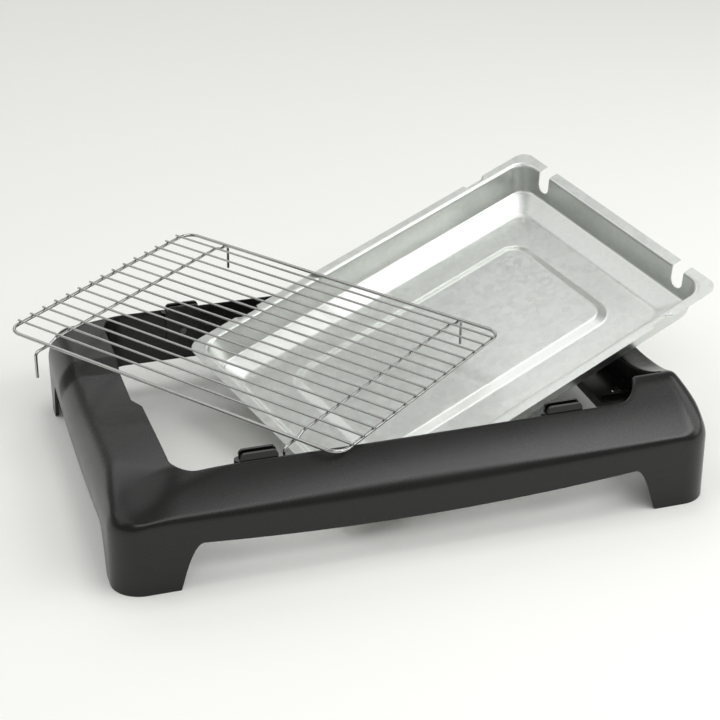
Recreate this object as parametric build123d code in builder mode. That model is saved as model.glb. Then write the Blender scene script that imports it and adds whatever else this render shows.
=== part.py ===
from build123d import *
import os
from math import hypot, radians, tan

# Electric grill stand with its drip tray and wire rack laid across it.
# The stand is centred on the origin and stands on Z = 0. X runs along the front rail to the right
# and Y to the back. Lengths are in millimetres and angles in degrees.

# Clearances
overrun = 6.0           # how far a cut runs past the surface that it opens
seat_gap = 0.4          # room left where a loose piece lies on another

# Stand, outer form
stand_length = 500.0
stand_width = 352.0
stand_corner = 25.0     # plan radius of the four corners
stand_wall = 3.0
crease_height = 63.0    # top of the upright skirt
crease_round = 10.0
crest_height = 103.5    # top of the two humps at the right end
front_pitch = 41.3      # slope of the front and back rails, in degrees
side_pitch = 62.0       # slope of the left and right ends, in degrees
crest_corner = 9.0      # plan radius of the corners at crest height
wall_foot = 37.0        # lower edge of the walls round the opening

# Stand, opening inside the rails
front_rail = 29.0       # plan width of the front and back rails
left_rail = 55.5
right_end = 57.0        # plan width of the humps at the right end
opening_corner = 20.0
grip_set_back = 6.0     # how far the back half of the left rail is cut back
grip_set_back_start = 18.0
bay_wall = 28.0         # plan width of the right rail beside the control bay
bay_end = 2.0           # wall of the humps beyond their crest, towards the bay
bay_corner = 5.0

# Stand, low grip panel on the left rail
bevel_width = 13.0
bevel_foot = 50.0
panel_outer = 69.0      # height of the panel at the bevel
panel_inner = 79.0      # height of the panel at the opening
panel_front_rise = 11.0
panel_back_rise = 9.0
panel_front = 100.0     # how far in front of the centre the panel is level
panel_back = 46.0       # how far behind the centre the step up begins
panel_step = 27.0

# Stand, saddle across the right rail
saddle_height = 75.0
saddle_level = 70.0     # length of the level part
saddle_reach = 130.0    # half length where the saddle meets crest height

# Stand, windows between the legs
front_leg_foot = 51.5   # width of a leg at the floor, seen from the front
front_leg_head = 63.0
side_leg_foot = 39.0
side_leg_head = 50.0
window_height = 40.0    # at its ends, beside the legs
window_sag = 8.5
window_corner = 13.0

# Control cradle
cradle_top = 55.0
cradle_plate = 3.0
cradle_end_gap = 9.9    # room between the shelf's ends and the humps
cradle_reach = 4.5      # how far the shelf stands out into the opening
cradle_skirt = 9.0
cradle_hole = 8.0
cradle_hole_from_end = 53.0
cradle_hole_inset = 12.0
cradle_rib = 2.0
cradle_rib_rise = 4.0
cradle_rib_from_end = 40.0
cradle_tab = 14.0
cradle_tab_from_end = 22.0

# Rack rests
rest_share = 0.254      # distance of each rest from the middle of its rail, as a share of the rail
rest_width = 30.0
rest_plate = 2.6
rest_slot = 5.0
rest_top = 93.6
rest_seat = 86.0
rest_foot = 58.0
rest_corner = 4.0
rest_tongue = 4.5

# Screws
screw_head = 7.0
screw_head_height = 2.2
screw_shank = 3.4
screw_length = 5.4
screw_slot = 1.0
screw_clearance = 0.1
screw_head_taper = 20   # degrees
screw_inset = 8.0       # distance of a screw from the end of what it holds

# Drip tray
tray_length = 390.5
tray_width = 270.0
tray_corner = 12.0
tray_sheet = 0.9
tray_flange = 9.0
flange_cut_depth = 4.0  # four cut-outs in the long edges of the flange, beside the rack rests
flange_cut_length = 22.0
flange_cut_place = 131.0
tray_wall_inset = 14.5
tray_wall_depth = 28.0
tray_wall_corner = 18.0
tray_floor_depth = 36.0
tray_floor_inset = 39.0
tray_floor_right = 35.0
tray_floor_left = 24.0
tray_floor_corner = 12.0
tray_panel_rise = 3.0
tray_panel_slope = 8.0
tray_panel_right = 65.0
tray_panel_left = 58.0
tray_panel_inset = 64.0
tray_panel_corner = 20.0
notch_width = 14.0
notch_depth = 20.0
notch_place = 93.0
notch_corner = 6.0
tray_turn = 15.23       # degrees about the vertical
tray_tilt = -16.55      # degrees, right end up
steepest_roll = 30      # degrees, upper limit when the tray's lean is sought
halvings = 30
tray_place = 91.3       # how far its middle lies to the right of the stand's
tray_front_gap = 6.15   # room between its front corner and the front wall

# Wire rack
rack_length = 348.0
rack_width = 245.5
rack_corner = 13.0
rim_wire = 3.0
rod_wire = 2.0
rod_count = 15
rod_overhang = 2.2
leg_wire = 2.6
leg_place = 130.4       # distance of the cross wires from the middle of the rack
leg_front_reach = 12.5
leg_back_reach = 6.0
leg_length = 24.0
leg_bend = 4.0
joggle_start = 12.0     # distances from the rim between which a cross wire dips under it
joggle_end = 5.0
rack_turn = -51.15
rack_tilt = 2.6
rack_roll = 1.52
rack_rest_gap = 4.4     # room between the front leg and the rest beside it
leg_wall_gap = 3.5      # room between that leg and the front wall

# Worked out from the sizes above
half_length = stand_length / 2
half_width = stand_width / 2
opening_half = half_width - front_rail
opening_left = left_rail - half_length
opening_right = half_length - right_end
front_slope = tan(radians(front_pitch))
side_slope = tan(radians(side_pitch))
lip_height = crease_height + front_rail * front_slope
crest_inset = (crest_height - crease_height) / front_slope
bay_half = half_width - crest_inset - bay_end
bay_right = half_length - bay_wall
cradle_half = bay_half - cradle_end_gap
cradle_hole_place = cradle_half - cradle_hole_from_end
cradle_rib_place = cradle_half - cradle_rib_from_end
cradle_tab_place = cradle_half - cradle_tab_from_end
rest_place = rest_share * stand_length
os.makedirs("parts", exist_ok=True)


def roof(skin):
    """Skirt and hipped roof of the stand, with every face set in by skin."""
    crease = crease_height - skin * tan(radians(90 - front_pitch) / 2)
    rise = crest_height - skin - crease
    length = stand_length - 2 * skin
    width = stand_width - 2 * skin
    with BuildPart() as form:
        with BuildSketch():
            RectangleRounded(length, width, stand_corner - skin)
        extrude(amount=crease)
        with BuildSketch(Plane.XY.offset(crease)):
            RectangleRounded(length, width, stand_corner - skin)
        with BuildSketch(Plane.XY.offset(crease + rise)):
            RectangleRounded(length - 2 * rise / side_slope, width - 2 * rise / front_slope, crest_corner)
        loft(ruled=True)
        fillet(form.edges().filter_by_position(Axis.Z, crease, crease), crease_round - skin)
    return form.part


def opening_outline(skin):
    """Plan of the opening between the rails and of the control bay, widened by skin."""
    with BuildSketch() as plan:
        with BuildLine():
            Polyline(
                (opening_left, -opening_half),
                (opening_right, -opening_half),
                (opening_right, opening_half),
                (opening_left - grip_set_back, opening_half),
                (opening_left - grip_set_back, 0),
                (opening_left, -grip_set_back_start),
                close=True,
            )
        make_face()
        fillet(plan.vertices().group_by(Axis.Y)[0] + plan.vertices().group_by(Axis.Y)[-1], opening_corner)
        with Locations(((opening_right + bay_right) / 2 - overrun, 0)):
            RectangleRounded(bay_right - opening_right + 2 * overrun, 2 * bay_half, bay_corner)
        offset(amount=skin)
    return plan.sketch


def panel_cut(skin):
    """What is cut away above the left rail: a level grip panel between the two rising corners."""
    top = crest_height + overrun
    outer = -half_length - overrun
    inner = opening_left + opening_corner + overrun
    panel_slope = (panel_inner - panel_outer) / (left_rail - bevel_width)
    panel_end = panel_inner + (inner - opening_left) * panel_slope
    sections = (
        (-half_width - overrun, panel_front_rise),
        (-panel_front, 0),
        (panel_back, 0),
        (panel_back + panel_step, panel_back_rise),
        (half_width + overrun, panel_back_rise),
    )
    with BuildPart() as cut:
        for y, rise in sections:
            with BuildSketch(Plane.XZ.offset(-y)):
                with BuildLine():
                    Polyline(
                        (outer, top),
                        (outer, bevel_foot + rise - skin),
                        (skin - half_length, bevel_foot + rise - skin),
                        (skin - half_length + bevel_width, panel_outer + rise - skin),
                        (inner, panel_end + rise - skin),
                        (inner, top),
                        close=True,
                    )
                make_face()
        loft(ruled=True)
    return cut.part


def saddle_cut(skin):
    """What is cut away above the right rail: a saddle between the two humps."""
    low = saddle_height - skin
    top = crest_height - skin
    level = saddle_level / 2
    with BuildPart() as cut:
        with BuildSketch(Plane.YZ.offset(opening_right)):
            with BuildLine():
                Line((-level, low), (level, low))
                TangentArc((level, low), (saddle_reach, top), tangent=(1, 0))
                Polyline(
                    (saddle_reach, top),
                    (saddle_reach, top + 2 * overrun),
                    (-saddle_reach, top + 2 * overrun),
                    (-saddle_reach, top),
                )
                TangentArc((-level, low), (-saddle_reach, top), tangent=(-1, 0))
            make_face()
        extrude(amount=right_end + overrun)
    return cut.part


def ring(skin):
    """The stand's solid ring with every outer face set in by skin."""
    with BuildPart() as solid:
        add(roof(skin))
        add(panel_cut(skin), mode=Mode.SUBTRACT)
        add(saddle_cut(skin), mode=Mode.SUBTRACT)
        with BuildSketch():
            add(opening_outline(skin))
        extrude(amount=crest_height + overrun, mode=Mode.SUBTRACT)
    return solid.part


def window(plane, foot, head, reach):
    """A flat-topped arch between two legs, cut along the normal of its plane."""
    with BuildPart() as cut:
        with BuildSketch(plane):
            with BuildLine():
                ThreePointArc((-head, window_height), (0, window_height - window_sag), (head, window_height))
                Polyline((head, window_height), (foot, -overrun), (-foot, -overrun), (-head, window_height))
            face = make_face()
            fillet(face.vertices().group_by(Axis.Y)[-1], window_corner)
        extrude(amount=reach + overrun, both=True)
    return cut.part


def rest_plane(x_side, y_side):
    """Section plane through the middle of a rack rest: its x runs into the opening, its y up."""
    origin = (x_side * rest_place, y_side * opening_half, 0)
    return Plane(origin=origin, x_dir=(0, -y_side, 0), z_dir=(-y_side, 0, 0))


def rest_screw_plane(x_side, y_side):
    """Plane of a rest's screw head, facing into the opening."""
    seat = rest_plane(x_side, y_side).from_local_coords((rest_plate, rest_foot + screw_inset, 0))
    return Plane(origin=seat, x_dir=(1, 0, 0), z_dir=(0, -y_side, 0))


def cradle_screw_plane(y):
    """Plane of a cradle screw's head, facing into the bay."""
    seat = (bay_right - cradle_plate, y, cradle_top + cradle_tab - screw_inset)
    return Plane(origin=seat, x_dir=(0, 1, 0), z_dir=(-1, 0, 0))


corners = ((-1, -1), (1, -1), (-1, 1), (1, 1))
rest_screw_planes = [rest_screw_plane(x_side, y_side) for x_side, y_side in corners]
cradle_screw_planes = [cradle_screw_plane(side * cradle_tab_place) for side in (-1, 1)]


def drill(planes):
    """Bores for the shanks of the screws whose heads lie on the given planes."""
    with BuildPart() as bores:
        for plane in planes:
            with BuildSketch(plane):
                Circle(screw_shank / 2 + screw_clearance)
            extrude(amount=-screw_length - screw_clearance)
    return bores.part


def screws(planes, name):
    """A group of slotted pan head screws, one on each plane."""
    with BuildPart() as group:
        for plane in planes:
            with BuildSketch(plane):
                Circle(screw_shank / 2)
            extrude(amount=-screw_length)
            with BuildSketch(plane):
                Circle(screw_head / 2)
            extrude(amount=screw_head_height, taper=screw_head_taper)
            with BuildSketch(plane.offset(screw_head_height)):
                Rectangle(screw_head, screw_slot)
            extrude(amount=-screw_slot, mode=Mode.SUBTRACT)
    group.part.label = name
    export_step(group.part, f"parts/{name}.step")


# One moulded ring with four legs, hollow from below
with BuildPart() as stand_frame:
    add(ring(0))
    add(ring(stand_wall), mode=Mode.SUBTRACT)
    with BuildSketch():
        RectangleRounded(
            stand_length - 2 * stand_wall, stand_width - 2 * stand_wall, stand_corner - stand_wall
        )
    extrude(amount=wall_foot, mode=Mode.SUBTRACT)
    front_foot = half_length - front_leg_foot
    front_head = half_length - front_leg_head
    add(window(Plane.XZ, front_foot, front_head, half_width), mode=Mode.SUBTRACT)
    side_foot = half_width - side_leg_foot
    side_head = half_width - side_leg_head
    add(window(Plane.YZ, side_foot, side_head, half_length), mode=Mode.SUBTRACT)
    add(drill(rest_screw_planes + cradle_screw_planes), mode=Mode.SUBTRACT)
stand_frame.part.label = "stand_frame"
export_step(stand_frame.part, "parts/stand_frame.step")

# Shelf under the control box, screwed to the right rail
cradle_left = opening_right - cradle_reach
cradle_depth = bay_right - cradle_left
with BuildPart() as control_cradle:
    with BuildSketch(Plane.XY.offset(cradle_top)):
        with Locations((cradle_left + cradle_depth / 2, 0)):
            Rectangle(cradle_depth, 2 * cradle_half)
        with Locations(*[(bay_right - cradle_hole_inset, side * cradle_hole_place) for side in (-1, 1)]):
            Rectangle(cradle_hole, cradle_hole, mode=Mode.SUBTRACT)
    extrude(amount=-cradle_plate)
    with BuildSketch(Plane.XY.offset(cradle_top)):
        with Locations((cradle_left + cradle_plate / 2, 0)):
            Rectangle(cradle_plate, 2 * cradle_half)
    extrude(amount=-cradle_skirt)
    with BuildSketch(Plane.XY.offset(cradle_top)):
        with Locations(*[(cradle_left + cradle_depth / 2, side * cradle_rib_place) for side in (-1, 1)]):
            Rectangle(cradle_depth - 2 * cradle_plate, cradle_rib)
    extrude(amount=cradle_rib_rise)
    with BuildSketch(Plane.XY.offset(cradle_top)):
        with Locations(*[(bay_right - cradle_plate / 2, side * cradle_tab_place) for side in (-1, 1)]):
            Rectangle(cradle_plate, cradle_tab)
    extrude(amount=cradle_tab)
    add(drill(cradle_screw_planes), mode=Mode.SUBTRACT)
control_cradle.part.label = "control_cradle"
export_step(control_cradle.part, "parts/control_cradle.step")
screws(cradle_screw_planes, "cradle_screws")


def rack_rest(x_side, y_side):
    """A hooked rest on the inner wall of a long rail, with a slot for the rack's rim."""
    back = rest_plate + rest_slot
    with BuildPart() as rest:
        with BuildSketch(rest_plane(x_side, y_side)):
            with BuildLine():
                Polyline(
                    (0, rest_foot),
                    (rest_plate, rest_foot),
                    (rest_plate, rest_seat - rest_plate),
                    (back + rest_plate, rest_seat - rest_plate),
                    (back + rest_plate, rest_top),
                    (back, rest_top),
                    (back, rest_seat),
                    (rest_plate, rest_seat),
                    (rest_plate, rest_top),
                    (0, rest_top),
                    close=True,
                )
            make_face()
        extrude(amount=rest_width / 2, both=True)
        ends = rest.edges().filter_by(Axis.Y).group_by(Axis.Z)[-1]
        fillet(ends, rest_corner)
        with BuildSketch(Plane.XY.offset(rest_seat - rest_plate)):
            with Locations((x_side * rest_place - rest_width / 2, y_side * (opening_half - rest_tongue))):
                Circle(rest_tongue)
        extrude(amount=rest_tongue)
        add(drill([rest_screw_plane(x_side, y_side)]), mode=Mode.SUBTRACT)
    return rest.part


sides = {-1: "left", 1: "right"}
rails = {-1: "front", 1: "back"}
for x_side, y_side in corners:
    rest = rack_rest(x_side, y_side)
    rest.label = f"rack_rest_{rails[y_side]}_{sides[x_side]}"
    export_step(rest, f"parts/{rest.label}.step")
screws(rest_screw_planes, "rest_screws")

# Drip tray: half sizes, then the lean at which it stands in the opening
tray_x = tray_length / 2
tray_y = tray_width / 2


def tray_frame(roll):
    """Frame of the tray's flange when it stands on the floor inside the front wall, leaning by roll."""
    turned = Plane(Location((0, 0, 0), (roll, tray_tilt, tray_turn), Extrinsic.XYZ))
    floor_x = tray_floor_left + tray_floor_corner - tray_x
    floor_y = tray_floor_inset + tray_floor_corner - tray_y
    lowest = turned.from_local_coords((floor_x, floor_y, -tray_floor_depth)).Z
    lowest -= tray_floor_corner * hypot(turned.x_dir.Z, turned.y_dir.Z)
    flange_y = tray_corner - tray_y
    foremost = turned.from_local_coords((tray_corner - tray_x, flange_y, 0)).Y
    foremost -= tray_corner * hypot(turned.x_dir.Y, turned.y_dir.Y)
    centre = (tray_place, tray_front_gap - opening_half - foremost, seat_gap - lowest)
    return Plane(origin=centre, x_dir=turned.x_dir, z_dir=turned.z_dir)


def back_clearance(roll):
    """Least room between the tray's underside and the back rail's lip and right rest."""
    frame = tray_frame(roll)
    room = []
    for inset, depth in ((tray_floor_inset, tray_floor_depth), (tray_wall_inset, tray_wall_depth)):
        edge = frame.from_local_coords((0, tray_y - inset, -depth))
        run = (opening_half - edge.Y) / frame.x_dir.Y
        room.append(edge.Z + run * frame.x_dir.Z - lip_height)
    rest_corner_at = (rest_place - rest_width / 2, opening_half - 2 * rest_plate - rest_slot, rest_top)
    room.append(-tray_floor_depth - frame.to_local_coords(Vector(rest_corner_at)).Z)
    return min(room)


# The lean is found by halving the range of angles in which it lies
low_roll = 0
high_roll = steepest_roll
for halving in range(halvings):
    middle_roll = (low_roll + high_roll) / 2
    if back_clearance(middle_roll) < seat_gap:
        low_roll = middle_roll
    else:
        high_roll = middle_roll
tray_plane = tray_frame(high_roll)


def tray_level(depth, left, right, side, corner):
    """A rounded rectangle at a depth below the flange, set in from the flange's edges."""
    with BuildSketch(tray_plane.offset(-depth)) as level:
        with Locations(((left - right) / 2, 0)):
            RectangleRounded(tray_length - left - right, tray_width - 2 * side, corner)
    return level.sketch


def tray_tub(sheet):
    """Solid tub of the tray: its outside, or its inside when set in by the sheet."""
    mouth = tray_flange + sheet
    wall = tray_wall_inset + sheet
    with BuildPart() as tub:
        add(tray_level(0, mouth, mouth, mouth, tray_wall_corner))
        add(tray_level(tray_wall_depth - sheet, wall, wall, wall, tray_wall_corner - sheet))
        loft(ruled=True)
        add(tray_level(tray_wall_depth - sheet, wall, wall, wall, tray_wall_corner - sheet))
        add(
            tray_level(
                tray_floor_depth - sheet,
                tray_floor_left + sheet,
                tray_floor_right + sheet,
                tray_floor_inset + sheet,
                tray_floor_corner,
            )
        )
        loft(ruled=True)
    return tub.part


def tray_panel(depth):
    """Raised panel of the tray's floor, standing up from the given depth."""
    left = tray_panel_left + tray_panel_slope
    right = tray_panel_right + tray_panel_slope
    side = tray_panel_inset + tray_panel_slope
    with BuildPart() as panel:
        add(tray_level(depth, tray_panel_left, tray_panel_right, tray_panel_inset, tray_panel_corner))
        add(tray_level(depth - tray_panel_rise, left, right, side, tray_panel_corner - tray_panel_slope))
        loft(ruled=True)
    return panel.part


# Pressed sheet tray with a flat flange, two notches and a raised panel
with BuildPart() as drip_tray:
    with BuildSketch(tray_plane):
        RectangleRounded(tray_length, tray_width, tray_corner)
        for side in (-1, 1):
            with Locations((side * flange_cut_place, -tray_y), (side * flange_cut_place, tray_y)):
                Rectangle(flange_cut_length, 2 * flange_cut_depth, mode=Mode.SUBTRACT)
    extrude(amount=-tray_sheet)
    add(tray_tub(0))
    add(tray_tub(tray_sheet), mode=Mode.SUBTRACT)
    add(tray_panel(tray_floor_depth - tray_sheet))
    add(tray_panel(tray_floor_depth), mode=Mode.SUBTRACT)
    notch_at = tray_plane.from_local_coords((tray_x - tray_wall_inset - overrun, 0, 0))
    with BuildSketch(Plane(origin=notch_at, x_dir=tray_plane.y_dir, z_dir=tray_plane.x_dir)):
        for side in (-1, 1):
            with Locations((side * notch_place, (overrun - notch_depth) / 2)):
                RectangleRounded(notch_width, notch_depth + overrun, notch_corner)
            with Locations((side * notch_place, overrun)):
                Rectangle(notch_width, 2 * overrun)
    extrude(amount=tray_wall_inset + 2 * overrun, mode=Mode.SUBTRACT)
drip_tray.part.label = "drip_tray"
export_step(drip_tray.part, "parts/drip_tray.step")

# Wire rack: levels of its wires in its own frame, whose origin is the middle of the rim
rack_x = rack_length / 2
rack_y = rack_width / 2
rod_level = (rim_wire + rod_wire) / 2
cross_level = rod_level - (rod_wire + leg_wire) / 2
under_level = -(rim_wire + leg_wire) / 2
rack_turned = Plane(Location((0, 0, 0), (rack_roll, rack_tilt, rack_turn), Extrinsic.XYZ))

# The front right leg stands behind the front lip, beside the left rest
leg_x = rest_width / 2 - rest_place + leg_wire / 2 + rack_rest_gap
leg_y = leg_wire / 2 + leg_wall_gap - opening_half
leg_from_middle = rack_turned.from_local_coords((leg_place, -rack_y - leg_front_reach, under_level))
rack_middle = Vector(leg_x, leg_y, 0) - leg_from_middle

# The back of the rim lies on the tray's back flange, where the two cross in plan, unless the front
# lip holds the rack higher
rim_back = Vector(rack_middle.X, rack_middle.Y, 0) + rack_turned.from_local_coords((0, rack_y, 0))
flange_back = tray_plane.from_local_coords((0, tray_y, 0))
apart = flange_back - rim_back
turn = rack_turned.x_dir.X * tray_plane.x_dir.Y - rack_turned.x_dir.Y * tray_plane.x_dir.X
along_rim = (apart.X * tray_plane.x_dir.Y - apart.Y * tray_plane.x_dir.X) / turn
along_flange = (apart.X * rack_turned.x_dir.Y - apart.Y * rack_turned.x_dir.X) / turn
flange_height = flange_back.Z + along_flange * tray_plane.x_dir.Z
rim_height = rim_back.Z + along_rim * rack_turned.x_dir.Z
lip_slope = -rack_turned.z_dir.Y / rack_turned.z_dir.Z
over_lip = lip_height + (rack_middle.Y + opening_half) * lip_slope
rack_z = max(flange_height - rim_height, over_lip) + rim_wire / 2 + seat_gap
rack_plane = Plane(
    origin=(rack_middle.X, rack_middle.Y, rack_z), x_dir=rack_turned.x_dir, z_dir=rack_turned.z_dir
)

with BuildPart() as rack_rim:
    with BuildLine(rack_plane) as rim_line:
        FilletPolyline(
            (-rack_x, -rack_y), (rack_x, -rack_y), (rack_x, rack_y), (-rack_x, rack_y),
            radius=rack_corner, close=True,
        )
    rim_path = rim_line.wire()
    with BuildSketch(Plane(origin=rim_path @ 0, z_dir=rim_path % 0)):
        Circle(rim_wire / 2)
    sweep(path=rim_path)
rack_rim.part.label = "rack_rim"
export_step(rack_rim.part, "parts/rack_rim.step")

for number in range(1, rod_count + 1):
    rod_y = number * rack_width / (rod_count + 1) - rack_y
    rod_at = rack_plane.from_local_coords((0, rod_y, rod_level))
    with BuildPart() as rod:
        with BuildSketch(Plane(origin=rod_at, x_dir=rack_plane.y_dir, z_dir=rack_plane.x_dir)):
            Circle(rod_wire / 2)
        extrude(amount=rack_x + rod_overhang, both=True)
    rod.part.label = f"rack_rod_{number:02d}"
    export_step(rod.part, f"parts/{rod.part.label}.step")

for side in (-1, 1):
    wire_at = rack_plane.from_local_coords((side * leg_place, 0, 0))
    with BuildPart() as cross_wire:
        with BuildLine(Plane(origin=wire_at, x_dir=rack_plane.y_dir, z_dir=rack_plane.x_dir)) as leg_line:
            FilletPolyline(
                (-rack_y - leg_front_reach, under_level - leg_length),
                (-rack_y - leg_front_reach, under_level),
                (joggle_end - rack_y, under_level),
                (joggle_start - rack_y, cross_level),
                (rack_y - joggle_start, cross_level),
                (rack_y - joggle_end, under_level),
                (rack_y + leg_back_reach, under_level),
                (rack_y + leg_back_reach, under_level - leg_length),
                radius=leg_bend,
            )
        leg_path = leg_line.wire()
        with BuildSketch(Plane(origin=leg_path @ 0, z_dir=leg_path % 0)):
            Circle(leg_wire / 2)
        sweep(path=leg_path)
    cross_wire.part.label = f"rack_leg_wire_{sides[side]}"
    export_step(cross_wire.part, f"parts/{cross_wire.part.label}.step")
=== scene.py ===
"""Looks of an electric grill stand with its drip tray and wire rack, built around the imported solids."""

import math

import bpy
import numpy as np
from bpy.props import FloatProperty, FloatVectorProperty, PointerProperty
from mathutils import Matrix, Vector


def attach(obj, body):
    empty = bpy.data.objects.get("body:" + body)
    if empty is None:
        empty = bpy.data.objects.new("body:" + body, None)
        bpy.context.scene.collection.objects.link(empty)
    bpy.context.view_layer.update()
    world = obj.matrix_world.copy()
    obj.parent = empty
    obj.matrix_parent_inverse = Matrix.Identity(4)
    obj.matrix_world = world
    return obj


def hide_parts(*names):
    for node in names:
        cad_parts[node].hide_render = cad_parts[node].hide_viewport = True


bl_info = {
    "name": "Electric grill stand",
    "version": (1, 0, 0),
    "blender": (4, 5, 0),
    "location": "View3D > Sidebar > Grill",
    "description": "Stand, drip tray and wire rack of an electric table grill",
    "category": "Object",
}

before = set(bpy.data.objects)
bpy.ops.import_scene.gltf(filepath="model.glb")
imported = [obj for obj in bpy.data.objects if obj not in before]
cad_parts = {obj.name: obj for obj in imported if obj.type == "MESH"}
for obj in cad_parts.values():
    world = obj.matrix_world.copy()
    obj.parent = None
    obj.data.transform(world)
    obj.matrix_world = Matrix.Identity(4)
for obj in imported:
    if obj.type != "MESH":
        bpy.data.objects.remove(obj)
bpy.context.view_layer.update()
MM = 0.001

# Stand, in millimetres: sizes of the solid that it stands for
HALF_LENGTH = 250.0
HALF_WIDTH = 176.0
STAND_CORNER = 25.0
CREASE = 63.0
CREST = 103.5
CREST_CORNER = 9.0
FRONT_SLOPE = math.tan(math.radians(41.3))
SIDE_RUN = 21.5
OPENING_HALF = 147.0
OPENING_LEFT = -194.5
OPENING_RIGHT = 193.0
OPENING_CORNER = 20.0
GRIP_SET_BACK = 6.0
GRIP_START = 18.0
BAY_RIGHT = 222.0
BAY_HALF = 127.9
BAY_CORNER = 5.0
WALL_FOOT = 37.0
WINDOW_HEIGHT = 40.0
WINDOW_SAG = 8.5
FRONT_WINDOW = (198.5, 187.0)
SIDE_WINDOW = (137.0, 126.0)
SADDLE_HEIGHT = 75.0
SADDLE_LEVEL = 35.0
SADDLE_RADIUS = 172.6

# Stand, softer forms that the solid doesn't have
SIDE_BULGE = 1.5
FOOT_DROP = 5.0
FOOT_DROP_END_SHARE = 0.8
FOOT_HEIGHT = 23.0
HUMP_CORNER = 3.0
CREST_ROUND = 7.0
WINDOW_ROUND = 30.0

# Stand, grip panel on the left rail and the shoulder in front of it
BEVEL_FOOT = 50.0
BEVEL_SLOPE = 19.0 / 13.0
PANEL_START = -237.0
PANEL_HEIGHT = 69.0
PANEL_SLOPE = 10.0 / 42.5
PANEL_ROUND = 6.0
FRONT_RISE = 9.8
FRONT_RISE_SPAN = (-30.0, 150.0)
BACK_RISE = 9.0
BACK_RISE_SPAN = (50.0, 66.0)
BACK_RISE_SKEW = 0.5
HIP_ROUND = 5.0
HIP_FRONT_ROUND = 9.0
HIP_FRONT_SPAN = (80.0, 140.0)
SHOULDER_SPAN = (-240.0, -172.0)
SHOULDER_HEIGHT = 63.5
SHOULDER_RISE = 12.0
SHOULDER_SLOPE = 0.27
SHOULDER_SLOPE_GAIN = 0.61
SHOULDER_ROUND = 10.0

# Drip tray: the frame of its flange, as the solid lies
TRAY_CENTRE = (91.3, 31.7077, 98.8935)
TRAY_LEAN = (10.87616, -16.55, 15.23)
TRAY_LENGTH = 390.5
TRAY_WIDTH = 270.0
FLANGE_CORNER = 12.0
CUT_START = 119.5
CUT_END = 142.5
CUT_RAMP = 1.0
CUT_DEPTH = 4.0
CUT_PLACES = np.array((CUT_START, CUT_START + CUT_RAMP, CUT_END - CUT_RAMP, CUT_END))
STRAIGHT_HALF = TRAY_LENGTH / 2 - FLANGE_CORNER
CUT_SHARES = (STRAIGHT_HALF - CUT_PLACES) / (2 * STRAIGHT_HALF)
NOTCH_PLACES = (-93.0, 93.0)


# Surfaces

def smooth_min(a, b, k):
    """Lower of a and b, with the edge between them rounded over a height of k."""
    h = np.maximum(k - np.abs(a - b), 0.0) / k
    return np.minimum(a, b) - h * h * k / 4


def smooth_step(x, start, end):
    """0 before start, 1 after end, and 3t^2 - 2t^3 between them."""
    t = np.clip((x - start) / (end - start), 0.0, 1.0)
    return t * t * (3 - 2 * t)


def bezier(p0, p1, p2, t):
    """Quadratic curve from p0 to p2 that leaves and arrives along the lines to p1."""
    return (1 - t) ** 2 * p0 + 2 * t * (1 - t) * p1 + t * t * p2


def grid_faces(rows, columns, closed=False):
    """Quads of a grid whose vertex (row, column) is row * columns + column.

    Where it is closed, the last row joins the first.
    """
    r = np.arange(rows if closed else rows - 1)[:, None]
    c = np.arange(columns - 1)[None, :]
    following = (r + 1) % rows
    corners = (r * columns + c, following * columns + c, following * columns + c + 1, r * columns + c + 1)
    return np.stack(corners, -1).reshape(-1, 4)


def new_piece(name, points, faces, caps=()):
    """A mesh object at the origin from points in millimetres, an array of quads and a few larger faces."""
    mesh = bpy.data.meshes.new(name)
    polygons = [*faces.tolist(), *[list(map(int, cap)) for cap in caps]]
    mesh.from_pydata((np.asarray(points).reshape(-1, 3) * MM).tolist(), [], polygons)
    mesh.update()
    piece = bpy.data.objects.new(name, mesh)
    bpy.context.scene.collection.objects.link(piece)
    return piece


def settle(piece, sharp_angle):
    """Applies the piece's modifiers and smooths its faces up to the given angle."""
    bpy.context.view_layer.update()
    shape = piece.evaluated_get(bpy.context.evaluated_depsgraph_get())
    mesh = bpy.data.meshes.new_from_object(shape)
    old = piece.data
    piece.modifiers.clear()
    piece.data = mesh
    mesh.name = piece.name
    bpy.data.meshes.remove(old)
    mesh.polygons.foreach_set("use_smooth", np.ones(len(mesh.polygons), bool))
    mesh.set_sharp_from_angle(angle=math.radians(sharp_angle))


def finish_piece(piece, body, slot, material, *nodes):
    """Gives a piece its material and body, and hides the solids that it stands for. The slot is not used."""
    piece.data.materials.clear()
    piece.data.materials.append(material)
    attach(piece, body)
    if nodes:
        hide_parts(*nodes)


def dress(nodes, material):
    """Puts a material on solids that are shown as they are."""
    for node in nodes:
        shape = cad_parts[node]
        shape.data.materials.clear()
        shape.data.materials.append(material)


# Materials

class Value:
    """A number on a shader socket, on which sums add Math nodes."""

    def __init__(self, finish, socket):
        self.finish = finish
        self.socket = socket

    def math(self, operation, first, second):
        return self.finish.node("ShaderNodeMath", {"operation": operation}, {0: first, 1: second})

    def __add__(self, other):
        return self.math("ADD", self, other)

    def __radd__(self, other):
        return self.math("ADD", other, self)

    def __sub__(self, other):
        return self.math("SUBTRACT", self, other)

    def __rsub__(self, other):
        return self.math("SUBTRACT", other, self)

    def __mul__(self, other):
        return self.math("MULTIPLY", self, other)

    def __rmul__(self, other):
        return self.math("MULTIPLY", other, self)


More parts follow.
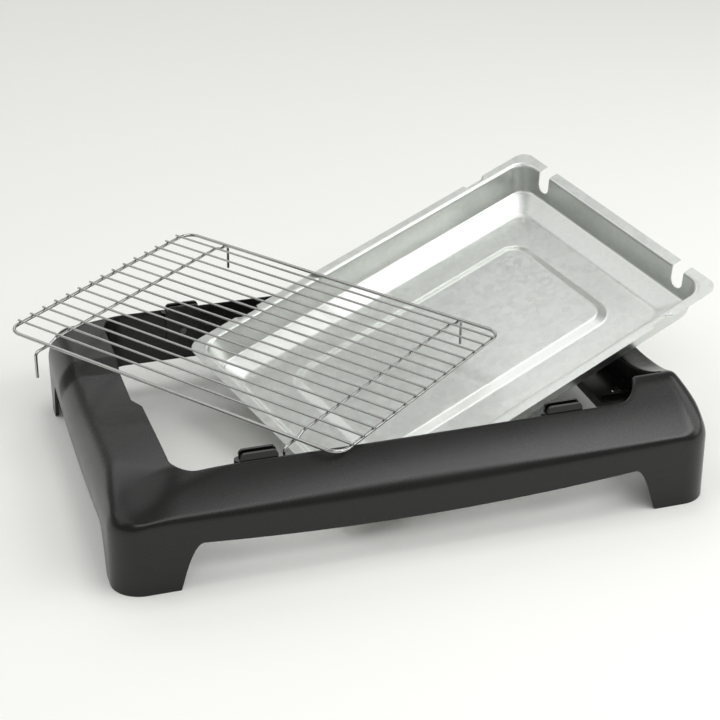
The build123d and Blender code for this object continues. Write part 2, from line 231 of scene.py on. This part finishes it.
class Finish:
    """A node material with one principled shader."""

    def __init__(self, name):
        self.material = bpy.data.materials.new(name)
        self.material.use_nodes = True
        self.tree = self.material.node_tree
        self.shader = self.tree.nodes["Principled BSDF"]

    def node(self, kind, settings=None, sockets=None, output=0):
        """Adds a node, sets it up, fills or links its sockets, and returns one of its outputs."""
        node = self.tree.nodes.new(kind)
        for key, value in (settings or {}).items():
            setattr(node, key, value)
        for key, value in (sockets or {}).items():
            self.feed(node.inputs[key], value)
        return Value(self, node.outputs[output])

    def feed(self, socket, value):
        if isinstance(value, Value):
            self.tree.links.new(value.socket, socket)
        else:
            socket.default_value = value

    def put(self, **sockets):
        for key, value in sockets.items():
            self.feed(self.shader.inputs[key.replace("_", " ")], value)

    def place(self, turn=(0.0, 0.0, 0.0), scale=(1.0, 1.0, 1.0)):
        """Object coordinates, turned and scaled."""
        where = self.node("ShaderNodeTexCoord", output="Object")
        return self.node(
            "ShaderNodeMapping", {"vector_type": "TEXTURE"},
            {"Vector": where, "Rotation": turn, "Scale": scale},
        )

    def noise(self, where, scale, detail=2.0, roughness=0.5):
        return self.node(
            "ShaderNodeTexNoise", {},
            {"Vector": where, "Scale": scale, "Detail": detail, "Roughness": roughness}, output="Fac",
        )

    def blend(self, factor, first, second):
        """Colour between first and second."""
        return self.node(
            "ShaderNodeMix", {"data_type": "RGBA"},
            {"Factor": factor, 6: (*first, 1.0), 7: (*second, 1.0)}, output=2,
        )

    def bump(self, height, strength, distance):
        return self.node("ShaderNodeBump", {}, {"Height": height, "Strength": strength, "Distance": distance})


def moulded_plastic(name, colour, roughness, grain):
    """Black moulded plastic: a fine sparked grain, with a slow change of gloss over the surface."""
    finish = Finish(name)
    where = finish.place()
    slow = finish.noise(where, 14.0, 3.0)
    fine = finish.noise(where, 1900.0, 1.0)
    lighter = tuple(1.35 * channel for channel in colour)
    finish.put(
        Base_Color=finish.blend(slow, colour, lighter),
        Roughness=roughness + 0.10 * (slow - 0.5) + 0.08 * (fine - 0.5),
        Normal=finish.bump(fine, grain, 0.0003),
    )
    finish.shader.inputs["Specular IOR Level"].default_value = 0.43
    return finish.material


def galvanised_sheet(name, colour, roughness, spangle, turn):
    """Zinc-coated steel: soft crystal spangles of slightly different tone, over faint rolling lines."""
    finish = Finish(name)
    where = finish.place(turn)
    waver = finish.node(
        "ShaderNodeTexNoise", {}, {"Vector": where, "Scale": 90.0, "Detail": 2.0}, output="Color"
    )
    bent = finish.node(
        "ShaderNodeMix", {"data_type": "RGBA"}, {"Factor": 0.012, 6: where, 7: waver}, output=2
    )
    crystal = finish.node("ShaderNodeTexVoronoi", {}, {"Vector": bent, "Scale": spangle}, output="Color")
    tone = finish.node("ShaderNodeSeparateColor", {}, {"Color": crystal})
    drawn = finish.place(turn, (18.0, 1.0, 1.0))
    lines = finish.noise(drawn, 420.0, 3.0)
    slow = finish.noise(where, 9.0, 3.0)
    mottle = 0.45 * tone + 0.25 * lines + 0.30 * slow
    darker = tuple(0.86 * channel for channel in colour)
    finish.put(
        Base_Color=finish.blend(mottle, darker, colour),
        Roughness=roughness + 0.06 * (tone - 0.5) + 0.06 * (lines - 0.5) + 0.08 * (slow - 0.5),
        Normal=finish.bump(lines, 0.05, 0.0004),
    )
    finish.shader.inputs["Metallic"].default_value = 1.0
    return finish.material


def plated_wire(name, colour, roughness):
    """Chrome-plated or zinc-plated steel, a little duller in places."""
    finish = Finish(name)
    where = finish.place()
    slow = finish.noise(where, 60.0, 2.0)
    darker = tuple(0.82 * channel for channel in colour)
    finish.put(
        Base_Color=finish.blend(slow, darker, colour),
        Roughness=roughness + 0.12 * (slow - 0.5),
    )
    finish.shader.inputs["Metallic"].default_value = 1.0
    return finish.material


# Stand

def arc(centre, radius, start, end, count):
    """Points on a circular arc between two angles in degrees."""
    angle = np.radians(np.linspace(start, end, count))
    return np.stack((centre[0] + radius * np.cos(angle), centre[1] + radius * np.sin(angle)), 1)


def along(points, shares):
    """Points at the given shares of the length of a line through points."""
    points = np.asarray(points, float)
    steps = np.hypot(*np.diff(points, axis=0).T)
    length = np.concatenate(([0.0], np.cumsum(steps))) / steps.sum()
    return np.stack([np.interp(shares, length, points[:, k]) for k in (0, 1)], 1)


def rail_lines(density):
    """Plan of the ring: matching points on its outer edge and on the edge of its opening.

    The two edges are cut into the same eight stretches: four rails and four corners.
    """
    inset = STAND_CORNER
    long_end = HALF_LENGTH - inset
    wide_end = HALF_WIDTH - inset
    right_end = BAY_HALF - BAY_CORNER
    left_end = OPENING_HALF - OPENING_CORNER
    low = OPENING_LEFT + OPENING_CORNER
    set_back = OPENING_LEFT - GRIP_SET_BACK
    hump = HUMP_CORNER

    def right_corner(side):
        """From the end of the front or back lip to the start of the bay's wall."""
        centre = (OPENING_RIGHT - OPENING_CORNER, -OPENING_HALF + OPENING_CORNER)
        lip = arc(centre, OPENING_CORNER, -90, -8, 14)
        nose = arc((OPENING_RIGHT + hump, -BAY_HALF - hump), hump, 180, 90, 6)
        wall = arc((BAY_RIGHT - BAY_CORNER, -BAY_HALF + BAY_CORNER), BAY_CORNER, -90, 0, 6)
        return np.concatenate((lip, nose, wall)) * (1, side)

    outer = [
        [(-long_end, -HALF_WIDTH), (long_end, -HALF_WIDTH)],
        [*arc((long_end, -wide_end), inset, -90, 0, 16), (HALF_LENGTH, -right_end)],
        [(HALF_LENGTH, -right_end), (HALF_LENGTH, right_end)],
        [(HALF_LENGTH, right_end), *arc((long_end, wide_end), inset, 0, 90, 16)],
        [(long_end, HALF_WIDTH), (-long_end, HALF_WIDTH)],
        [*arc((-long_end, wide_end), inset, 90, 180, 16), (-HALF_LENGTH, left_end)],
        [(-HALF_LENGTH, left_end), (-HALF_LENGTH, -left_end)],
        [(-HALF_LENGTH, -left_end), *arc((-long_end, -wide_end), inset, 180, 270, 16)],
    ]
    inner = [
        [(low, -OPENING_HALF), (OPENING_RIGHT - OPENING_CORNER, -OPENING_HALF)],
        right_corner(1),
        [(BAY_RIGHT, -right_end), (BAY_RIGHT, right_end)],
        right_corner(-1)[::-1],
        [(OPENING_RIGHT - OPENING_CORNER, OPENING_HALF), (low - GRIP_SET_BACK, OPENING_HALF)],
        arc((low - GRIP_SET_BACK, left_end), OPENING_CORNER, 90, 180, 16),
        [(set_back, left_end), (set_back, 0), (OPENING_LEFT, -GRIP_START), (OPENING_LEFT, -left_end)],
        arc((low, -left_end), OPENING_CORNER, 180, 270, 16),
    ]
    edges = []
    for line_out, line_in in zip(outer, inner):
        line_out = np.asarray(line_out, float)
        count = int(np.hypot(*np.diff(line_out, axis=0).T).sum() * density)
        shares = np.arange(count) / count
        edges.append((along(line_out, shares), along(line_in, shares)))
    return np.concatenate([e[0] for e in edges]), np.concatenate([e[1] for e in edges])


def roof_height(x, y):
    """Height of the hipped roof.

    At h above the crease its plan is a rounded rectangle, set in at the front by h over the slope and at the
    ends by a power of h, so the ends bulge. Near the crease the height then falls away with the square of the
    distance, most at mid-length.
    """
    low = np.full_like(x, -30.0)
    high = np.full_like(x, 90.0)
    for _ in range(36):
        h = (low + high) / 2
        corner = np.clip(STAND_CORNER - (STAND_CORNER - CREST_CORNER) * h / (CREST - CREASE), 2.0, None)
        share = h / (CREST - CREASE)
        run = SIDE_RUN * np.where(h > 0, np.clip(share, 0.0, None) ** SIDE_BULGE, share)
        over_x = np.abs(x) - (HALF_LENGTH - run - corner)
        over_y = np.abs(y) - (HALF_WIDTH - h / FRONT_SLOPE - corner)
        outside = np.hypot(np.maximum(over_x, 0), np.maximum(over_y, 0))
        reach = outside + np.minimum(np.maximum(over_x, over_y), 0)
        inside = reach < corner
        low = np.where(inside, h, low)
        high = np.where(inside, high, h)
    h = (low + high) / 2
    drop = FOOT_DROP * (1 - FOOT_DROP_END_SHARE * np.clip(np.abs(x) / HALF_LENGTH, 0.0, 1.0) ** 2)
    return CREASE + h - drop * np.clip(1 - h / FOOT_HEIGHT, 0.0, 1.2) ** 2


def stand_height(x, y):
    """Height of the stand's top: the roof, cut by the crest, the grip panel and the saddle.

    The grip panel is on the left and the saddle on the right. On the left half the roof is cut again by a
    shoulder, which is flatter towards the end of the stand.
    """
    top = smooth_min(roof_height(x, y), CREST, CREST_ROUND)
    step = y - BACK_RISE_SKEW * (OPENING_LEFT - x)
    rise = FRONT_RISE * smooth_step(-y, *FRONT_RISE_SPAN) + BACK_RISE * smooth_step(step, *BACK_RISE_SPAN)
    bevel = BEVEL_FOOT + (x + HALF_LENGTH) * BEVEL_SLOPE
    panel = PANEL_HEIGHT + (x - PANEL_START) * PANEL_SLOPE
    grip = smooth_min(bevel, panel, PANEL_ROUND) + rise
    hip = HIP_ROUND + HIP_FRONT_ROUND * smooth_step(-y, *HIP_FRONT_SPAN)
    share = smooth_step(x, *SHOULDER_SPAN)
    slope = SHOULDER_SLOPE + SHOULDER_SLOPE_GAIN * share
    shoulder = SHOULDER_HEIGHT + SHOULDER_RISE * share + (y + HALF_WIDTH) * slope
    left = smooth_min(smooth_min(top, grip, hip), shoulder, SHOULDER_ROUND)
    top = np.where(x < 0, left, top)
    reach = np.clip(np.abs(y) - SADDLE_LEVEL, 0.0, None)
    fall = np.sqrt(np.clip(SADDLE_RADIUS ** 2 - reach ** 2, 1.0, None))
    saddle = SADDLE_HEIGHT + SADDLE_RADIUS - fall
    return np.where(x > 150, smooth_min(top, saddle, CREST_ROUND), top)


def leg_window(place, foot, head):
    """Lower edge of the skirt between two legs: a sagging arch, joined to the leaning sides of the legs."""
    arch = WINDOW_HEIGHT - WINDOW_SAG * (1 - np.clip(np.abs(place) / head, 0, 1) ** 2)
    side = (foot - np.abs(place)) * WINDOW_HEIGHT / (foot - head)
    return np.clip(smooth_min(arch, side, WINDOW_ROUND), 0.0, None)


def stand_surface(density, crease_round, lip_round):
    """Outer skin of the stand as a grid.

    Rows run round the ring, and columns go up the skirt, over the rail and down inside.
    """
    outer, inner = rail_lines(density)
    x, y = outer.T
    width = np.hypot(*(inner - outer).T)
    front = leg_window(x, *FRONT_WINDOW)
    sides = leg_window(y, *SIDE_WINDOW)
    foot = np.where(np.abs(y) > HALF_WIDTH - 1, front, np.where(np.abs(x) > HALF_LENGTH - 1, sides, 0.0))
    edge = stand_height(x, y)

    def plan(inset):
        share = (inset / width)[:, None]
        return outer + (inner - outer) * share

    columns = []

    def column(inset, height):
        columns.append(np.column_stack((plan(np.broadcast_to(inset, x.shape)), height)))

    skirt_top = edge - crease_round
    for t in np.linspace(0, 1, 9):
        column(0.0, foot + (skirt_top - foot) * t)
    turn = 0.75 * crease_round
    turned = stand_height(*plan(np.full_like(x, turn)).T)
    for t in np.linspace(0, 1, 8)[1:]:
        column(bezier(0.0, 0.0, turn, t), bezier(skirt_top, edge, turned, t))
    for t in np.linspace(0, 1, 22)[1:]:
        inset = turn + (width - lip_round - turn) * t
        column(inset, stand_height(*plan(inset).T))
    lip = stand_height(*inner.T)
    last = stand_height(*plan(width - lip_round).T)
    for t in np.linspace(0, 1, 7)[1:]:
        column(bezier(width - lip_round, width, width, t), bezier(last, lip, lip - lip_round, t))
    for t in np.linspace(0, 1, 6)[1:]:
        column(width, lip - lip_round + (WALL_FOOT - lip + lip_round) * t)
    return np.stack(columns, 1)


class StandSettings(bpy.types.PropertyGroup):
    """Sizes and colours of the stand."""

    wall: FloatProperty(
        name="Wall", description="Thickness of the moulding", default=3.0 * MM, min=MM, unit="LENGTH"
    )
    crease_round: FloatProperty(
        name="Crease round", description="Softness of the edge above the skirt",
        default=8.0 * MM, unit="LENGTH",
    )
    lip_round: FloatProperty(
        name="Lip round", description="Softness of the edge round the opening",
        default=2.2 * MM, unit="LENGTH",
    )
    density: FloatProperty(
        name="Density", description="Grid rows per millimetre of the edge",
        default=0.42, min=0.1,
    )
    colour: FloatVectorProperty(
        name="Plastic", description="Colour of the plastic",
        subtype="COLOR", default=(0.0045, 0.0045, 0.0042),
    )
    roughness: FloatProperty(
        name="Roughness", description="Dullness of the plastic",
        subtype="FACTOR", default=0.28, min=0.0, max=1.0,
    )
    grain: FloatProperty(
        name="Grain", description="Depth of the moulded grain",
        subtype="FACTOR", default=0.05, min=0.0, max=1.0,
    )


class GRILL_OT_stand(bpy.types.Operator):
    """Make the moulded stand"""

    bl_idname = "grill.stand"
    bl_label = "Stand"

    def execute(self, context):
        s = context.scene.grill_stand
        points = stand_surface(s.density, s.crease_round / MM, s.lip_round / MM)
        piece = new_piece("stand_ring", points, grid_faces(*points.shape[:2], closed=True))
        wall = piece.modifiers.new("Wall", "SOLIDIFY")
        wall.thickness = s.wall
        wall.offset = -1.0
        settle(piece, 40.0)
        plastic = moulded_plastic("grill_black_plastic", tuple(s.colour), s.roughness, s.grain)
        finish_piece(piece, "stand", "stand_plastic", plastic, "stand_frame")
        return {"FINISHED"}


class GRILL_OT_fittings(bpy.types.Operator):
    """Finish the cradle, the rack rests and the screws"""

    bl_idname = "grill.fittings"
    bl_label = "Fittings"

    def execute(self, context):
        s = context.scene.grill_stand
        plastic = moulded_plastic("grill_fitting_plastic", tuple(s.colour), s.roughness - 0.06, s.grain / 2)
        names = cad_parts
        dress([n for n in names if n.startswith("rack_rest_")] + ["control_cradle"], plastic)
        dress(["rest_screws", "cradle_screws"], plated_wire("grill_screw_zinc", (0.2, 0.2, 0.2), 0.45))
        return {"FINISHED"}


# Drip tray

def tray_ring(left, right, side, corner, arc_count, straight_count):
    """A rounded rectangle set in from the flange's edges, with the same count of points whatever its size."""
    x0, x1 = left - TRAY_LENGTH / 2, TRAY_LENGTH / 2 - right
    y0, y1 = side - TRAY_WIDTH / 2, TRAY_WIDTH / 2 - side
    centres = ((x1 - corner, y0 + corner, -90), (x1 - corner, y1 - corner, 0),
               (x0 + corner, y1 - corner, 90), (x0 + corner, y0 + corner, 180))
    arcs = [arc((cx, cy), corner, start, start + 90, arc_count) for cx, cy, start in centres]
    stretches = []
    steps = np.concatenate((np.arange(1, straight_count) / straight_count, CUT_SHARES, 1 - CUT_SHARES))
    shares = np.sort(steps)[:, None]
    for k, bend in enumerate(arcs):
        following = arcs[(k + 1) % 4][0]
        stretches.append(np.concatenate((bend, bend[-1] + (following - bend[-1]) * shares)))
    return np.concatenate(stretches)


def tray_surface(sheet, bend):
    """Upper skin of the pressed tray: rings from the flange's edge down the wall and over the floor.

    Each station holds how far a ring is set in at the left, right and long sides, its corner and its height.
    The line through the stations is rounded at each by a quadratic curve, which reaches a set way into the
    runs on both sides.
    """
    s = sheet
    stations = np.array([
        (0.05, 0.05, 0.05, FLANGE_CORNER, 0.0),
        (9.0 + s, 9.0 + s, 9.0 + s, 17.0, 0.0),
        (14.5 + s, 14.5 + s, 14.5 + s, 17.0, s - 28.0),
        (24.0 + s, 35.0 + s, 35.0 + s, 13.0, s - 36.0),
        (58.0, 65.0, 64.0, 20.0, s - 36.0),
        (66.0, 73.0, 72.0, 13.0, s - 33.0),
        (110.0, 115.0, 110.0, 6.0, s - 33.0),
    ])
    reach = bend * np.array((0.0, 1.0, 0.6, 0.8, 0.4, 0.4, 0.0))
    path = [stations[0]]
    for k in range(1, len(stations) - 1):
        before, here, after = stations[k - 1:k + 2]
        run_in = np.hypot((here - before)[2], (here - before)[4])
        run_out = np.hypot((after - here)[2], (after - here)[4])
        start = here + (before - here) * reach[k] / run_in
        end = here + (after - here) * reach[k] / run_out
        path.append(start + (before - here) * 0.3 / run_in)
        path += [bezier(start, here, end, t) for t in np.linspace(0, 1, 7)]
        path.append(end + (after - here) * 0.3 / run_out)
    path.append(stations[-1])
    rings = []
    for left, right, side, corner, height in path:
        ring = tray_ring(left, right, side, corner, 15, 30)
        rings.append(np.column_stack((ring, np.full(len(ring), height))))
    points = np.stack(rings, 1)
    edge = points[:, 0]
    away = np.abs(edge[:, 0])
    depth = np.clip(np.minimum(away - CUT_START, CUT_END - away) / CUT_RAMP, 0.0, 1.0)
    cut = depth * (np.abs(edge[:, 1]) > TRAY_WIDTH / 2 - 1)
    edge[:, 1] -= np.sign(edge[:, 1]) * CUT_DEPTH * cut
    return points


def turned(points, centre, lean):
    """Points of a piece's own frame, turned by roll, tilt and turn in degrees and moved to its centre."""
    roll, tilt, turn = (math.radians(a) for a in lean)
    turning = Matrix.Rotation(turn, 3, "Z") @ Matrix.Rotation(tilt, 3, "Y") @ Matrix.Rotation(roll, 3, "X")
    return np.asarray(points) @ np.array(turning).T + np.array(centre)


def prism(section, start, end, axis):
    """A closed prism: a counter-clockwise section of points, carried along an axis from start to end."""
    n = len(section)
    points = np.stack([np.insert(section, axis, v, 1) for v in (start, end)], 0)
    k = np.arange(n)
    return points, np.stack((k, (k + 1) % n, (k + 1) % n + n, k + n), 1), (k[::-1], k + n)


def notch_cutters(place, width, depth):
    """Three prisms: a U through the right end's wall, and a round for each corner left in the flange.

    The corner towards the front is rounded widely, the other one a little.
    """
    half = width / 2
    end = TRAY_LENGTH / 2
    bottom = arc((place, half - depth), half, 180, 360, 17)
    section = np.concatenate((bottom, [(place + half, 6.0), (place - half, 6.0)]))
    yield prism(section, end - 22.0, end + 8.0, 0)
    for side, radius in ((-1, 8.0), (1, 2.5)):
        edge = place + side * half
        turn = arc((end - radius, edge + side * radius), radius, -90 * side, 0, 12)
        outside = [(end + 8.0, edge + side * radius), (end + 8.0, edge - side), (end - radius, edge - side)]
        section = np.concatenate((turn, outside))
        yield prism(section[::side], -3.0, 6.0, 2)


class TraySettings(bpy.types.PropertyGroup):
    """Sizes and colours of the drip tray."""

    sheet: FloatProperty(
        name="Sheet", description="Thickness of the sheet",
        default=0.9 * MM, unit="LENGTH",
    )
    bend: FloatProperty(
        name="Bend", description="Softness of the pressed bends",
        default=3.0 * MM, unit="LENGTH",
    )
    notch_width: FloatProperty(
        name="Notch width", description="Width of the two notches", default=14.0 * MM, unit="LENGTH"
    )
    notch_depth: FloatProperty(
        name="Notch depth", description="Depth of the two notches", default=20.0 * MM, unit="LENGTH"
    )
    colour: FloatVectorProperty(
        name="Zinc", description="Colour of the zinc coat", subtype="COLOR", default=(0.75, 0.772, 0.742)
    )
    roughness: FloatProperty(
        name="Roughness", description="Dullness of the zinc coat",
        subtype="FACTOR", default=0.34, min=0.0, max=1.0,
    )
    spangle: FloatProperty(name="Spangle", description="Zinc crystals per metre", default=230.0, min=1.0)


class GRILL_OT_tray(bpy.types.Operator):
    """Make the pressed drip tray"""

    bl_idname = "grill.tray"
    bl_label = "Drip tray"

    def execute(self, context):
        s = context.scene.grill_tray
        points = tray_surface(s.sheet / MM, s.bend / MM)
        rows, columns = points.shape[:2]
        floor = np.arange(rows) * columns + columns - 1
        placed = turned(points.reshape(-1, 3), TRAY_CENTRE, TRAY_LEAN)
        piece = new_piece("pressed_drip_tray", placed, grid_faces(rows, columns, closed=True), [floor])
        thickness = piece.modifiers.new("Sheet", "SOLIDIFY")
        thickness.thickness = s.sheet
        thickness.offset = -1.0
        cutters = []
        for place in NOTCH_PLACES:
            for section, sides, ends in notch_cutters(place, s.notch_width / MM, s.notch_depth / MM):
                placed = turned(section.reshape(-1, 3), TRAY_CENTRE, TRAY_LEAN)
                cutter = new_piece("notch", placed, sides, ends)
                cut = piece.modifiers.new("Notch", "BOOLEAN")
                cut.operation = "DIFFERENCE"
                cut.solver = "EXACT"
                cut.object = cutter
                cutters.append(cutter)
        settle(piece, 35.0)
        for cutter in cutters:
            mesh = cutter.data
            bpy.data.objects.remove(cutter)
            bpy.data.meshes.remove(mesh)
        turn = tuple(math.radians(a) for a in TRAY_LEAN)
        zinc = galvanised_sheet("grill_galvanised_sheet", tuple(s.colour), s.roughness, s.spangle, turn)
        finish_piece(piece, "tray", "tray_sheet", zinc, "drip_tray")
        return {"FINISHED"}


# Wire rack

class RackSettings(bpy.types.PropertyGroup):
    """Colours of the wire rack."""

    colour: FloatVectorProperty(
        name="Chrome", description="Colour of the plated wire", subtype="COLOR", default=(0.46, 0.46, 0.45)
    )
    roughness: FloatProperty(
        name="Roughness", description="Dullness of the plated wire",
        subtype="FACTOR", default=0.07, min=0.0, max=1.0,
    )


class GRILL_OT_rack(bpy.types.Operator):
    """Finish the welded wire rack"""

    bl_idname = "grill.rack"
    bl_label = "Wire rack"

    def execute(self, context):
        s = context.scene.grill_rack
        wires = [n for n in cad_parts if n.startswith(("rack_rim", "rack_rod_", "rack_leg_wire_"))]
        dress(wires, plated_wire("grill_chrome_wire", tuple(s.colour), s.roughness))
        return {"FINISHED"}


# Stage: the camera's place in metres and its directions, fitted to the photograph

CAMERA_PLACE = (-0.39714, -1.3061, 0.75841)
CAMERA_RIGHT = Vector((0.95609, -0.293, -0.00634))
CAMERA_UP = Vector((0.13515, 0.4216, 0.89665))
CAMERA_AHEAD = Vector((0.26004, 0.85814, -0.44269))


class StageSettings(bpy.types.PropertyGroup):
    """Floor, light and camera."""

    floor: FloatVectorProperty(
        name="Floor", description="Colour of the floor and backdrop",
        subtype="COLOR", default=(0.97, 0.975, 0.945),
    )
    sky: FloatProperty(
        name="Sky", description="Strength of the even light all round",
        default=0.29, min=0.0,
    )
    top: FloatProperty(name="Top", description="Power of the softbox overhead", default=5.0, unit="POWER")
    overhead: FloatProperty(
        name="Overhead", description="Power of the softbox overhead, further back",
        default=5.4, unit="POWER",
    )
    key: FloatProperty(
        name="Key", description="Power of the strip in front on the right",
        default=14.5, unit="POWER",
    )
    front: FloatProperty(name="Front", description="Power of the strip in front", default=7.9, unit="POWER")
    left: FloatProperty(
        name="Left", description="Power of the softbox on the left",
        default=18.5, unit="POWER",
    )
    right: FloatProperty(
        name="Right", description="Power of the softbox on the right",
        default=11.0, unit="POWER",
    )
    back: FloatProperty(name="Back", description="Power of the panel behind", default=34.0, unit="POWER")
    lens: FloatProperty(name="Lens", description="Focal length of the camera", default=88.442, min=1.0)


def floor_surface(width, count):
    """A flat square grid on the ground, with count points along each side."""
    place = np.linspace(-width / 2, width / 2, count)
    x, y = np.meshgrid(place, place, indexing="ij")
    return np.stack((x, y, np.zeros_like(x)), -1)


class GRILL_OT_stage(bpy.types.Operator):
    """Set up the floor, the lights and the camera"""

    bl_idname = "grill.stage"
    bl_label = "Stage"

    def execute(self, context):
        s = context.scene.grill_stage
        scene = context.scene
        scene.view_settings.view_transform = "Standard"
        points = floor_surface(24000.0, 13)
        floor = new_piece("studio_floor", points, grid_faces(*points.shape[:2]))
        paper = Finish("grill_studio_paper")
        fibre = paper.noise(paper.place(), 3.0, 2.0)
        colour = tuple(s.floor)
        paper.put(Base_Color=paper.blend(fibre, tuple(0.99 * c for c in colour), colour))
        paper.shader.inputs["Roughness"].default_value = 0.9
        paper.shader.inputs["Specular IOR Level"].default_value = 0.1
        floor.data.materials.append(paper.material)

        world = bpy.data.worlds.new("grill_studio")
        world.use_nodes = True
        sky = world.node_tree.nodes["Background"]
        sky.inputs["Color"].default_value = (1.0, 1.0, 0.985, 1.0)
        sky.inputs["Strength"].default_value = s.sky
        scene.world = world

        def lamp(name, place, aim, size, power):
            light = bpy.data.lights.new(name, "AREA")
            light.shape = "RECTANGLE"
            light.size, light.size_y = size
            light.energy = power
            shape = bpy.data.objects.new(name, light)
            shape.location = place
            shape.rotation_euler = (Vector(aim) - Vector(place)).to_track_quat("-Z", "Y").to_euler()
            scene.collection.objects.link(shape)

        lamp("grill_top", (0.43, -0.16, 2.5), (0.43, -0.16, 0.0), (0.9, 0.7), s.top)
        lamp("grill_overhead", (0.43, 0.6, 2.5), (0.43, 0.5, 0.0), (0.9, 0.7), s.overhead)
        lamp("grill_key", (1.15, -1.37, 1.63), (0.0, -0.1, 0.1), (1.4, 0.6), s.key)
        lamp("grill_front", (-0.2, -1.6, 1.63), (0.0, -0.1, 0.1), (1.4, 0.6), s.front)
        lamp("grill_left", (-1.9, 0.3, 2.3), (-0.3, 0.0, 0.0), (2.6, 2.6), s.left)
        lamp("grill_right", (1.9, -0.5, 0.95), (0.0, -0.1, 0.1), (1.4, 1.3), s.right)
        lamp("grill_back", (0.0, 3.2, 2.7), (0.0, 0.0, 1.2), (5.0, 2.2), s.back)

        camera = bpy.data.cameras.new("grill_camera")
        camera.lens = s.lens
        camera.sensor_width = 36.0
        viewer = bpy.data.objects.new("grill_camera", camera)
        turn = Matrix((CAMERA_RIGHT, CAMERA_UP, -CAMERA_AHEAD)).transposed().to_4x4()
        viewer.matrix_world = Matrix.Translation(CAMERA_PLACE) @ turn
        scene.collection.objects.link(viewer)
        scene.camera = viewer
        return {"FINISHED"}


class GRILL_PT_panel(bpy.types.Panel):
    """Buttons and settings of the grill"""

    bl_idname = "GRILL_PT_panel"
    bl_label = "Electric grill"
    bl_space_type = "VIEW_3D"
    bl_region_type = "UI"
    bl_category = "Grill"

    def draw(self, context):
        for group, operators in PANEL_ROWS:
            box = self.layout.box()
            for operator in operators:
                box.operator(operator)
            settings = getattr(context.scene, group)
            for name in settings.bl_rna.properties.keys():
                if name not in {"rna_type", "name"}:
                    box.prop(settings, name)


PANEL_ROWS = (
    ("grill_stand", ("grill.stand", "grill.fittings")),
    ("grill_tray", ("grill.tray",)),
    ("grill_rack", ("grill.rack",)),
    ("grill_stage", ("grill.stage",)),
)
GROUPS = {
    "grill_stand": StandSettings,
    "grill_tray": TraySettings,
    "grill_rack": RackSettings,
    "grill_stage": StageSettings,
}
CLASSES = (
    *GROUPS.values(),
    GRILL_OT_stand,
    GRILL_OT_fittings,
    GRILL_OT_tray,
    GRILL_OT_rack,
    GRILL_OT_stage,
    GRILL_PT_panel,
)


def register():
    for cls in CLASSES:
        bpy.utils.register_class(cls)
    for name, group in GROUPS.items():
        setattr(bpy.types.Scene, name, PointerProperty(type=group))


def unregister():
    for name in GROUPS:
        delattr(bpy.types.Scene, name)
    for cls in reversed(CLASSES):
        bpy.utils.unregister_class(cls)


def main():
    register()
    bpy.ops.grill.stand()
    bpy.ops.grill.fittings()
    bpy.ops.grill.tray()
    bpy.ops.grill.rack()
    bpy.ops.grill.stage()


if __name__ == "__main__":
    main()
